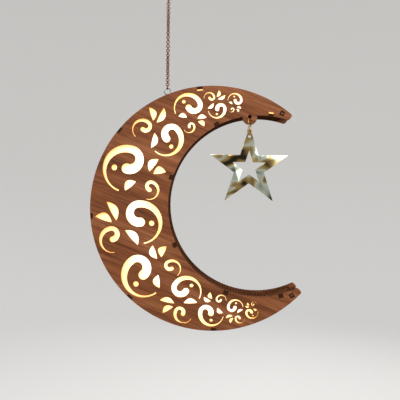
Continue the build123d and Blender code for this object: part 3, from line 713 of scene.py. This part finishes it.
def slit_period(name, length):
    """One period of a flat strip, open at its ends: a slit in the middle, then two that reach the edges."""
    xs = [0.0]
    for middle in (length / 4, 3 * length / 4):
        xs += [middle - SLIT / 2, middle + SLIT / 2]
    xs.append(length)
    edge = WALL_HALF - SLIT_MARGIN
    zs = [-WALL_HALF, -edge, -SLIT_MARGIN / 2, SLIT_MARGIN / 2, edge, WALL_HALF]
    gaps = {(1, 1), (1, 2), (1, 3), (3, 0), (3, 1), (3, 3), (3, 4)}
    solid = {(i, j) for i in range(5) for j in range(5)} - gaps
    verts, faces, index = [], [], {}

    def corner(i, j, y):
        key = (i, j, y)
        if key not in index:
            index[key] = len(verts)
            verts.append((xs[i], y, zs[j]))
        return index[key]

    for i, j in sorted(solid):
        ring = [(i, j), (i + 1, j), (i + 1, j + 1), (i, j + 1)]
        faces.append([corner(a, b, 0.0) for a, b in ring])
        faces.append([corner(a, b, PLY) for a, b in reversed(ring)])
        sides = (((i, j - 1), ring[0], ring[1]), ((i + 1, j), ring[1], ring[2]),
                 ((i, j + 1), ring[2], ring[3]), ((i - 1, j), ring[3], ring[0]))
        for neighbour, a, b in sides:
            if neighbour not in solid and 0 <= neighbour[0] < 5:
                faces.append([corner(*a, 0.0), corner(*a, PLY), corner(*b, PLY), corner(*b, 0.0)])
    return mesh_from(name, verts, faces)


def new_tree(name, rows):
    """Node tree with geometry in and out, and numbers and a finish as named inputs."""
    tree = bpy.data.node_groups.new(name, "GeometryNodeTree")
    sockets = tree.interface
    sockets.new_socket("Geometry", in_out="INPUT", socket_type="NodeSocketGeometry")
    for label, kind in (*rows, ("Finish", "Material")):
        sockets.new_socket(label, in_out="INPUT", socket_type="NodeSocket" + kind)
    sockets.new_socket("Geometry", in_out="OUTPUT", socket_type="NodeSocketGeometry")
    return tree, add_node(tree, "NodeGroupInput", {})


def vector_of(tree, parts):
    """Vector from the parts that are given, by name."""
    return add_node(tree, "ShaderNodeCombineXYZ", parts)["Vector"]


def repeated(tree, points, shape, turn=None):
    """Instances of a shape on points, made real."""
    values = {"Points": points, "Instance": shape}
    if turn is not None:
        values["Rotation"] = turn
    instances = add_node(tree, "GeometryNodeInstanceOnPoints", values)["Instances"]
    return add_node(tree, "GeometryNodeRealizeInstances", {"Geometry": instances})["Geometry"]


def row_of(tree, shape, count, step):
    """Instances of a shape in a row along X."""
    spots = add_node(tree, "GeometryNodeMeshLine", {"Count": count, "Offset": vector_of(tree, {"X": step})})
    return repeated(tree, spots["Mesh"], shape)


def finished(tree, inside, geometry):
    """Last step of a tree: its material, then out."""
    finish = add_node(tree, "GeometryNodeSetMaterial", {"Geometry": geometry, "Material": inside["Finish"]})
    add_node(tree, "NodeGroupOutput", {"Geometry": finish["Geometry"]})
    return tree


def slit_wall_tree():
    """Node tree that repeats a period of slits along X and bends the strip round the Z axis."""
    tree, inside = new_tree("slit_wall", (("Periods", "Int"), ("Period Length", "Float"),
                                          ("Near Radius", "Float"), ("Bend Radius", "Float"),
                                          ("Start Angle", "Float")))
    strip = row_of(tree, inside["Geometry"], inside["Periods"], inside["Period Length"])
    weld = add_node(tree, "GeometryNodeMergeByDistance", {"Geometry": strip, "Distance": 0.01})
    apart = split(tree, add_node(tree, "GeometryNodeInputPosition", {})["Position"])
    turn = maths(tree, "DIVIDE", apart["X"], inside["Bend Radius"])
    turn = maths(tree, "ADD", turn, inside["Start Angle"])
    radius = maths(tree, "ADD", inside["Near Radius"], apart["Y"])
    spot = vector_of(tree, {"X": maths(tree, "MULTIPLY", radius, maths(tree, "COSINE", turn)),
                            "Y": maths(tree, "MULTIPLY", radius, maths(tree, "SINE", turn)),
                            "Z": apart["Z"]})
    bend = add_node(tree, "GeometryNodeSetPosition", {"Geometry": weld["Geometry"], "Position": spot})
    return finished(tree, inside, bend["Geometry"])


def tab_mesh(name, near, centre, angle, width, side, steps=4):
    """Edge tab of a wall on one side: a short ring sector that reaches the panel's outer face."""
    far = near + PLY
    low, high = sorted((side * TAB_ROOT, side * FRONT_Z))
    half = degrees(width / 2 / ((near + far) / 2))
    verts = []
    for k in range(steps + 1):
        a = angle - half + 2 * half * k / steps
        for radius, z in ((near, low), (far, low), (far, high), (near, high)):
            verts.append(place(*polar(radius, a, centre), z))
    return mesh_from(name, verts, end_faces(steps + 1, 4) + loft_faces(steps + 1, 4))


def join_meshes(name, meshes):
    """One mesh from several, each kept as a shell of its own, with its faces turned outwards."""
    joined = bmesh.new()
    for mesh in meshes:
        joined.from_mesh(mesh)
        bpy.data.meshes.remove(mesh)
    turn_outwards(joined)
    result = bpy.data.meshes.new(name)
    joined.to_mesh(result)
    joined.free()
    return result


def close_ends(shape):
    """Closes the open ends of a strip."""
    bmesh.ops.holes_fill(shape, edges=[e for e in shape.edges if e.is_boundary], sides=0)
    turn_outwards(shape)


wall_tree = slit_wall_tree()


def slit_wall(name, near, centre, end_angle, tabs, tab_width, pitch):
    """Bent wall with its slits and its edge tabs; the tabs' ends are burnt."""
    middle = near + PLY / 2
    span = radians(360 - 2 * end_angle)
    periods = round(span * middle / (2 * pitch))
    length = span * middle / periods
    values = {"Periods": periods, "Period Length": length, "Near Radius": near, "Bend Radius": middle,
              "Start Angle": radians(end_angle), "Finish": painted_shade_wall_wood}
    strip = grown(name, wall_tree, slit_period(name + "_period", length), values,
                  lambda x, y, z: place(x + centre, y, z))
    ends = [tab_mesh(name + "_tab", near, centre, tab, tab_width, side) for tab in tabs for side in (-1, 1)]
    wall = join_meshes(name, [reshaped(strip, close_ends)] + ends)
    wall.materials.append(painted_shade_wall_wood)
    wall.materials.append(burnt_edge)
    for face in wall.polygons:
        depth = abs(face.center.y - CENTRE[1] * MM)
        face.material_index = 1 if depth > BURN_DEPTH * MM else 0
    return wall


inner_end = bay_tip()[1] + degrees((TIP_ROUND + TIP_BARE) / BAY_R)
outer_end = TIP_ANGLE + degrees(TIP_ROUND / OUTER_R)
outer_slits = slit_wall("outer_slit_wall", OUTER_R - PLY, 0.0, outer_end, OUTER_TABS, OUTER_TAB, OUTER_PITCH)
inner_slits = slit_wall("inner_slit_wall", BAY_R, BAY_X, inner_end, INNER_TABS, INNER_TAB, INNER_PITCH)
piece("outer_slit_wall", outer_slits, (), "outer_wall", "lantern")
piece("inner_slit_wall", inner_slits, (), "inner_wall", "lantern")

# Wire rings, and the chain as a repeated link
LOOP_R, LOOP_WIRE = 8.0, 1.72
LINK_R, LINK_WIRE, LINK_PITCH, LINK_COUNT = 2.0, 1.1, 2.8, 37
LINK_TURNS, LINK_SIDES = 28, 10
END_LINK_R = 2.8
TOP_LINK_Z, FIRST_LINK_Z, END_LINK_Z = -9.1, -12.65, -117.0
EYE_Z, EYE_R, EYE_WIRE = -122.3, 4.0, 1.6
STAR_XY = (102.540, -20.7)
LUG_RING_Z, STAR_RING_Z = -162.819, -172.669
JUMP_R, JUMP_WIRE, JUMP_YAW = 5.5, 1.0, 20.0


def ring_mesh(name, plane, radius, wire, opening=0.0, opening_at=0.0, turns=64, sides=16):
    """Round wire bent to a ring; opening leaves a gap, in degrees, between its ends."""
    closed = opening == 0.0
    steps = turns if closed else turns + 1
    verts = []
    for i in range(steps):
        t = radians(opening_at + opening / 2 + (360 - opening) * i / turns)
        for reach, out in circle(wire / 2, (radius, 0), sides):
            verts.append(plane @ Vector((reach * cos(t), reach * sin(t), out)) * MM)
    faces = loft_faces(steps, sides, around=closed)
    return mesh_from(name, verts, faces if closed else faces + end_faces(steps, sides))


def hang_plane(height, turn=0.0, place_xy=(0.0, 0.0)):
    """Upright plane on a hanging line: its X and Y span the ring, turned about Z."""
    upright = Matrix.Rotation(radians(turn), 4, "Z") @ Matrix.Rotation(pi / 2, 4, "X")
    return Matrix.Translation((*place_xy, height)) @ upright


# Rings: plane, radius and wire, finish and slot, node and body, and the gap between the ends with its place
brass_wire, copper_wire = (brass, "brass_wire"), (copper, "copper")
end_link, jump_ring = (END_LINK_R, LINK_WIRE), (JUMP_R, JUMP_WIRE)
lug_plane = hang_plane(LUG_RING_Z, 90 - JUMP_YAW, STAR_XY)
star_plane = hang_plane(STAR_RING_Z, 90 + JUMP_YAW, STAR_XY)
for name, plane, size, (finish, slot), node, opening in (
        ("hanging_loop", hang_plane(0.0), (LOOP_R, LOOP_WIRE), brass_wire, "hanging_ring", (2.0, 20.0)),
        ("top_link", hang_plane(TOP_LINK_Z, 90), end_link, copper_wire, "chain_top_link", (6.0, 0.0)),
        ("end_link", hang_plane(END_LINK_Z, 90), end_link, copper_wire, "chain_end_link", (6.0, 0.0)),
        ("lug_jump_ring", lug_plane, jump_ring, brass_wire, "lug_ring", (3.0, 200.0)),
        ("star_jump_ring", star_plane, jump_ring, brass_wire, "star_ring", (3.0, 340.0))):
    piece(name, ring_mesh(name, plane, *size, *opening), (finish,), node, node)


def chain_tree():
    """Node tree that repeats one round link down a line, each turned from the last by the same angle."""
    tree, inside = new_tree("round_link_chain", (("Count", "Int"), ("Pitch", "Float"), ("Top", "Float"),
                                                 ("Turn", "Float"), ("Radius", "Float"), ("Wire", "Float")))
    step = maths(tree, "MULTIPLY", inside["Pitch"], -1.0)
    spots = add_node(tree, "GeometryNodeMeshLine", {
        "Count": inside["Count"], "Start Location": vector_of(tree, {"Z": inside["Top"]}),
        "Offset": vector_of(tree, {"Z": step})})
    half_wire = maths(tree, "MULTIPLY", inside["Wire"], 0.5)
    loop, section = [
        add_node(tree, "GeometryNodeCurvePrimitiveCircle", {"Resolution": count, "Radius": radius})["Curve"]
        for count, radius in ((LINK_TURNS, inside["Radius"]), (LINK_SIDES, half_wire))]
    wire = add_node(tree, "GeometryNodeCurveToMesh", {"Curve": loop, "Profile Curve": section})["Mesh"]
    upright = add_node(tree, "GeometryNodeTransform", {"Geometry": wire, "Rotation": (pi / 2, 0, 0)})
    number = add_node(tree, "GeometryNodeInputIndex", {})["Index"]
    spin = vector_of(tree, {"Z": maths(tree, "MULTIPLY", number, inside["Turn"])})
    chain = repeated(tree, spots["Mesh"], upright["Geometry"], spin)
    return finished(tree, inside, chain)


slow_twist = pi / (LINK_COUNT - 1)
chain_values = {"Count": LINK_COUNT, "Pitch": LINK_PITCH, "Top": FIRST_LINK_Z, "Turn": pi / 2 + slow_twist,
                "Radius": LINK_R, "Wire": LINK_WIRE, "Finish": copper}
links = grown("chain_links", chain_tree(), bpy.data.meshes.new("chain_start"), chain_values,
              lambda x, y, z: Vector((x, y, z)) * MM)
piece("chain_links", links, (copper,), "hanging_chain", "hanging_chain", 60.0)

# Eye: round wire ring on a turned and threaded shank that goes through the outer wall
EYE_ANGLE = 107.7
EYE_DISTANCE = 157.5
EYE_SETBACK = 2.2
SHANK_R, SHANK_LENGTH, NECK = 1.0, 14.0, 4.0
ROOT_STEP, ROOT_LENGTH, POINT_LENGTH, POINT_R = 0.2, 0.6, 1.0, 0.2
THREAD_START, THREAD_PITCH, THREAD_DEPTH = 4.2, 0.8, 0.3


def lathe(name, start, direction, profile, sides=24):
    """Turned piece along a direction from start: profile holds (distance, radius) pairs, in millimetres."""
    axis = direction.normalized()
    across = axis.orthogonal().normalized()
    other = axis.cross(across)
    verts = []
    for distance, radius in profile:
        for x, y in circle(radius, (0, 0), sides):
            verts.append(start + (axis * distance + across * x + other * y) * MM)
    return mesh_from(name, verts, loft_faces(len(profile), sides) + end_faces(len(profile), sides))


eye_root = place(*polar(EYE_DISTANCE - EYE_R, EYE_ANGLE), -EYE_SETBACK)
eye_in = place(0, 0, -EYE_SETBACK) - eye_root
shank_profile = [(0.0, SHANK_R - ROOT_STEP), (ROOT_LENGTH, SHANK_R), (NECK, SHANK_R)]
depth = THREAD_START
while depth < SHANK_LENGTH - POINT_LENGTH - THREAD_PITCH / 4:
    shank_profile += [(depth, SHANK_R), (depth + THREAD_PITCH / 2, SHANK_R - THREAD_DEPTH)]
    depth += THREAD_PITCH
shank_profile += [(SHANK_LENGTH - POINT_LENGTH, SHANK_R - ROOT_STEP), (SHANK_LENGTH, POINT_R)]
shank = lathe("eye_shank", eye_root, eye_in, shank_profile)
eye_mesh = join_meshes("eye_wire", [ring_mesh("eye_ring", hang_plane(EYE_Z), EYE_R, EYE_WIRE), shank])
piece("eye_wire", eye_mesh, (nickel,), "eye_screw", "lantern")

# Star: the mirror sheet with its cut edges just broken
STAR_EDGE = 0.12
star = rounded_edges("star_mirror", nodes["star_pendant"].data, STAR_EDGE * MM, 1)
piece("star_mirror", star, (gold_mirror,), "star_pendant", "star_pendant")

# Battery case: moulded tray, sliding cover with grip ribs, switch knob and four pan-head screws
CASE_EDGE, KNOB_EDGE, RIB_EDGE = 0.35, 0.4, 0.4
COVER_LOW, COVER_HIGH = (-19.2, -15.3, 0.5), (37.1, 15.3, 2.3)
GRIP_COUNT, GRIP_PITCH, GRIP_WIDTH, GRIP_HALF = 4, 2.4, 1.2, 7.4
GRIP_ROOT, GRIP_TOP = 1.9, 2.98
tray = rounded_edges("case_tray", nodes["battery_case"].data, CASE_EDGE * MM)
knob = rounded_edges("switch_knob", nodes["switch_slider"].data, KNOB_EDGE * MM, 3)
piece("case_tray", tray, (case_plastic,), "battery_case", "lantern")
piece("switch_knob", knob, (knob_plastic,), "switch_slider", "switch_slider")


def box_mesh(name, low, high, width):
    """Box between two corners, in millimetres, with its edges rounded over width."""
    verts = [(x, y, z) for x in (low[0], high[0]) for y in (low[1], high[1]) for z in (low[2], high[2])]
    faces = [[0, 1, 3, 2], [4, 6, 7, 5], [0, 4, 5, 1], [2, 3, 7, 6], [0, 2, 6, 4], [1, 5, 7, 3]]
    return rounded_edges(name, mesh_from(name, verts, faces), width, 3)


def row_tree():
    """Node tree that repeats a shape in a row along X."""
    tree, inside = new_tree("grip_row", (("Count", "Int"), ("Pitch", "Float")))
    return finished(tree, inside, row_of(tree, inside["Geometry"], inside["Count"], inside["Pitch"]))


def grid_tree():
    """Node tree that sets a shape at the four corners of a rectangle."""
    tree, inside = new_tree("screw_corners", (("Along", "Float"), ("Across", "Float")))
    corners = add_node(tree, "GeometryNodeMeshGrid", {"Vertices X": 2, "Size X": inside["Along"],
                                                      "Vertices Y": 2, "Size Y": inside["Across"]})
    return finished(tree, inside, repeated(tree, corners["Mesh"], inside["Geometry"]))


plate = moved(box_mesh("cover_plate", COVER_LOW, COVER_HIGH, CASE_EDGE), place_case)
first_grip = COVER_HIGH[0] - (GRIP_COUNT + 0.5) * GRIP_PITCH
rib = box_mesh("cover_rib", (first_grip - GRIP_WIDTH / 2, -GRIP_HALF, GRIP_ROOT),
               (first_grip + GRIP_WIDTH / 2, GRIP_HALF, GRIP_TOP), RIB_EDGE)
ribs = grown("cover_ribs", row_tree(), rib,
             {"Count": GRIP_COUNT, "Pitch": GRIP_PITCH, "Finish": cover_plastic}, place_case)
ribs.materials.clear()
cover = join_meshes("cover_plate", [plate, ribs])
piece("cover_plate", cover, (cover_plastic,), "battery_cover", "battery_cover")

# Screws: head and dome, shank, and the cross pressed into the dome as shares of the head
HEAD_R, HEAD_EDGE, DOME = 2.2, 0.35, 1.35
SCREW_R, SCREW_DEPTH, SCREW_POINT = 1.1, 4.9, 0.6
CROSS_REACH, CROSS_HALF, CROSS_DEPTH = 0.62, 0.14, 0.55
DOME_ANGLES = (15, 30, 45, 55, 63, 70, 77, 84)


def pan_screw(name, sides=32):
    """Pan-head screw pointing down Z, its head on the face, with a cross pressed into the dome."""
    rings = [(SCREW_R * 0.3, -SCREW_DEPTH), (SCREW_R, SCREW_POINT - SCREW_DEPTH), (SCREW_R, 0.0),
             (HEAD_R, 0.0), (HEAD_R, HEAD_EDGE)]
    for a in DOME_ANGLES:
        rings.append((HEAD_R * cos(radians(a)), HEAD_EDGE + (DOME - HEAD_EDGE) * sin(radians(a))))
    verts = []
    for radius, z in rings:
        for x, y in circle(radius, (0, 0), sides):
            in_cross = radius < CROSS_REACH * HEAD_R and min(abs(x), abs(y)) < CROSS_HALF * HEAD_R
            verts.append((x, y, z - CROSS_DEPTH if z > HEAD_EDGE and in_cross else z))
    faces = loft_faces(len(rings), sides)
    verts += [(0, 0, -SCREW_DEPTH), (0, 0, DOME - CROSS_DEPTH)]
    last = (len(rings) - 1) * sides
    for j in range(sides):
        k = (j + 1) % sides
        faces += [[len(verts) - 2, j, k], [len(verts) - 1, last + k, last + j]]
    return mesh_from(name, verts, faces)


screws = grown("pan_screws", grid_tree(), pan_screw("pan_screw"),
               {"Along": SCREW_ALONG, "Across": SCREW_ACROSS, "Finish": steel}, place_case)
piece("pan_screws", screws, (steel,), "case_screws", "lantern")

# Stage: pale floor and wall in one round sweep, soft lights, and the camera at the photograph's viewing angle
WALL_R, WALL_TOP, FLOOR_Z, COVE_R = 3.0, 4.0, -0.95, 0.9
COVE_STEPS, SWEEP_STEPS = 12, 96
PAPER_GLOW = 0.28
ROOM_LIGHT, ROOM_SEEN = 0.40, 0.55
AIM = (0.06, 0.0, -0.25)


def seen_rays(tree):
    """One for rays that see the stage, straight, mirrored or through a clear piece, and none for others."""
    path = add_node(tree, "ShaderNodeLightPath", {})
    seen = maths(tree, "ADD", path["Is Camera Ray"], path["Is Glossy Ray"])
    return maths(tree, "MINIMUM", maths(tree, "ADD", seen, path["Is Transmission Ray"]), 1.0)


def backdrop_material(name):
    """Pale matt paper that also shows pale where the lamps fall off."""
    mat, tree, shader = material(name)
    set_inputs(shader, {"Base Color": (0.72, 0.71, 0.69, 1.0), "Roughness": 0.9,
                        "Emission Color": (0.95, 0.94, 0.92, 1.0),
                        "Emission Strength": maths(tree, "MULTIPLY", seen_rays(tree), PAPER_GLOW)})
    return mat


def round_backdrop():
    """Floor, cove and wall of pale paper all round, lit by the lamps and seen, but casting nothing back."""
    profile = []
    for i in range(COVE_STEPS + 1):
        t = radians(90 * i / COVE_STEPS)
        profile.append((WALL_R - COVE_R + COVE_R * sin(t), FLOOR_Z + COVE_R - COVE_R * cos(t)))
    profile.append((WALL_R, WALL_TOP))
    verts = [(0.0, 0.0, FLOOR_Z)]
    for radius, z in profile:
        verts += [(x, y, z) for x, y in circle(radius, (0, 0), SWEEP_STEPS)]
    faces = [[0, 1 + k, 1 + (k + 1) % SWEEP_STEPS] for k in range(SWEEP_STEPS)]
    mesh = mesh_from("backdrop", verts, faces + loft_faces(len(profile), SWEEP_STEPS, 1))
    mesh.shade_smooth()
    mesh.materials.append(backdrop_material("backdrop_pale"))
    surround = new_object("backdrop", mesh)
    surround.visible_diffuse = False
    surround.visible_shadow = False
    return surround


round_backdrop()


def area_light(name, spot, size, power):
    light = bpy.data.lights.new(name, "AREA")
    light.shape = "DISK"
    light.size = size
    light.energy = power
    obj = new_object(name, light)
    obj.location = spot
    obj.rotation_euler = (Vector(AIM) - Vector(spot)).to_track_quat("-Z", "Y").to_euler()


area_light("key", (-0.75, -1.1, 0.65), 0.9, 16.0)
area_light("fill", (1.1, -1.2, 0.1), 1.2, 7.0)
area_light("top", (0.1, 0.1, 1.2), 0.9, 6.0)
area_light("behind", (0.7, 1.4, 0.5), 1.0, 8.0)


def studio_world(name):
    """Pale room, brighter above; it lights matt faces at less than half the level that is seen."""
    room = bpy.data.worlds.new(name)
    room.use_nodes = True
    tree = room.node_tree
    height = split(tree, texture_coords(tree, "Generated"))["Z"]
    tone = ramp(tree, height, [(0.0, (0.66, 0.655, 0.64)), (0.15, (0.78, 0.785, 0.78)),
                               (0.5, (0.90, 0.91, 0.92))])
    strength = maths(tree, "ADD", maths(tree, "MULTIPLY", seen_rays(tree), ROOM_SEEN), ROOM_LIGHT)
    set_inputs(tree.nodes["Background"], {"Color": tone, "Strength": strength})
    return room


bpy.context.scene.world = studio_world("studio")
bpy.context.scene.view_settings.view_transform = "Standard"

CAMERA_SPOT = Vector((55.24, -660.8, -240.98)) * MM
YAW, PITCH, ROLL = 0.0188, -0.0264, 0.0135
FOCAL_PIXELS, FRAME_PIXELS, SENSOR = 522.5, 400.0, 36.0
camera_data = bpy.data.cameras.new("camera")
camera_data.sensor_width = SENSOR
camera_data.lens = FOCAL_PIXELS / FRAME_PIXELS * SENSOR
camera = new_object("camera", camera_data)
aimed = Matrix.Rotation(YAW, 4, "Z") @ Matrix.Rotation(pi / 2 + PITCH, 4, "X") @ Matrix.Rotation(ROLL, 4, "Z")
camera.matrix_world = Matrix.Translation(CAMERA_SPOT) @ aimed
bpy.context.scene.camera = camera
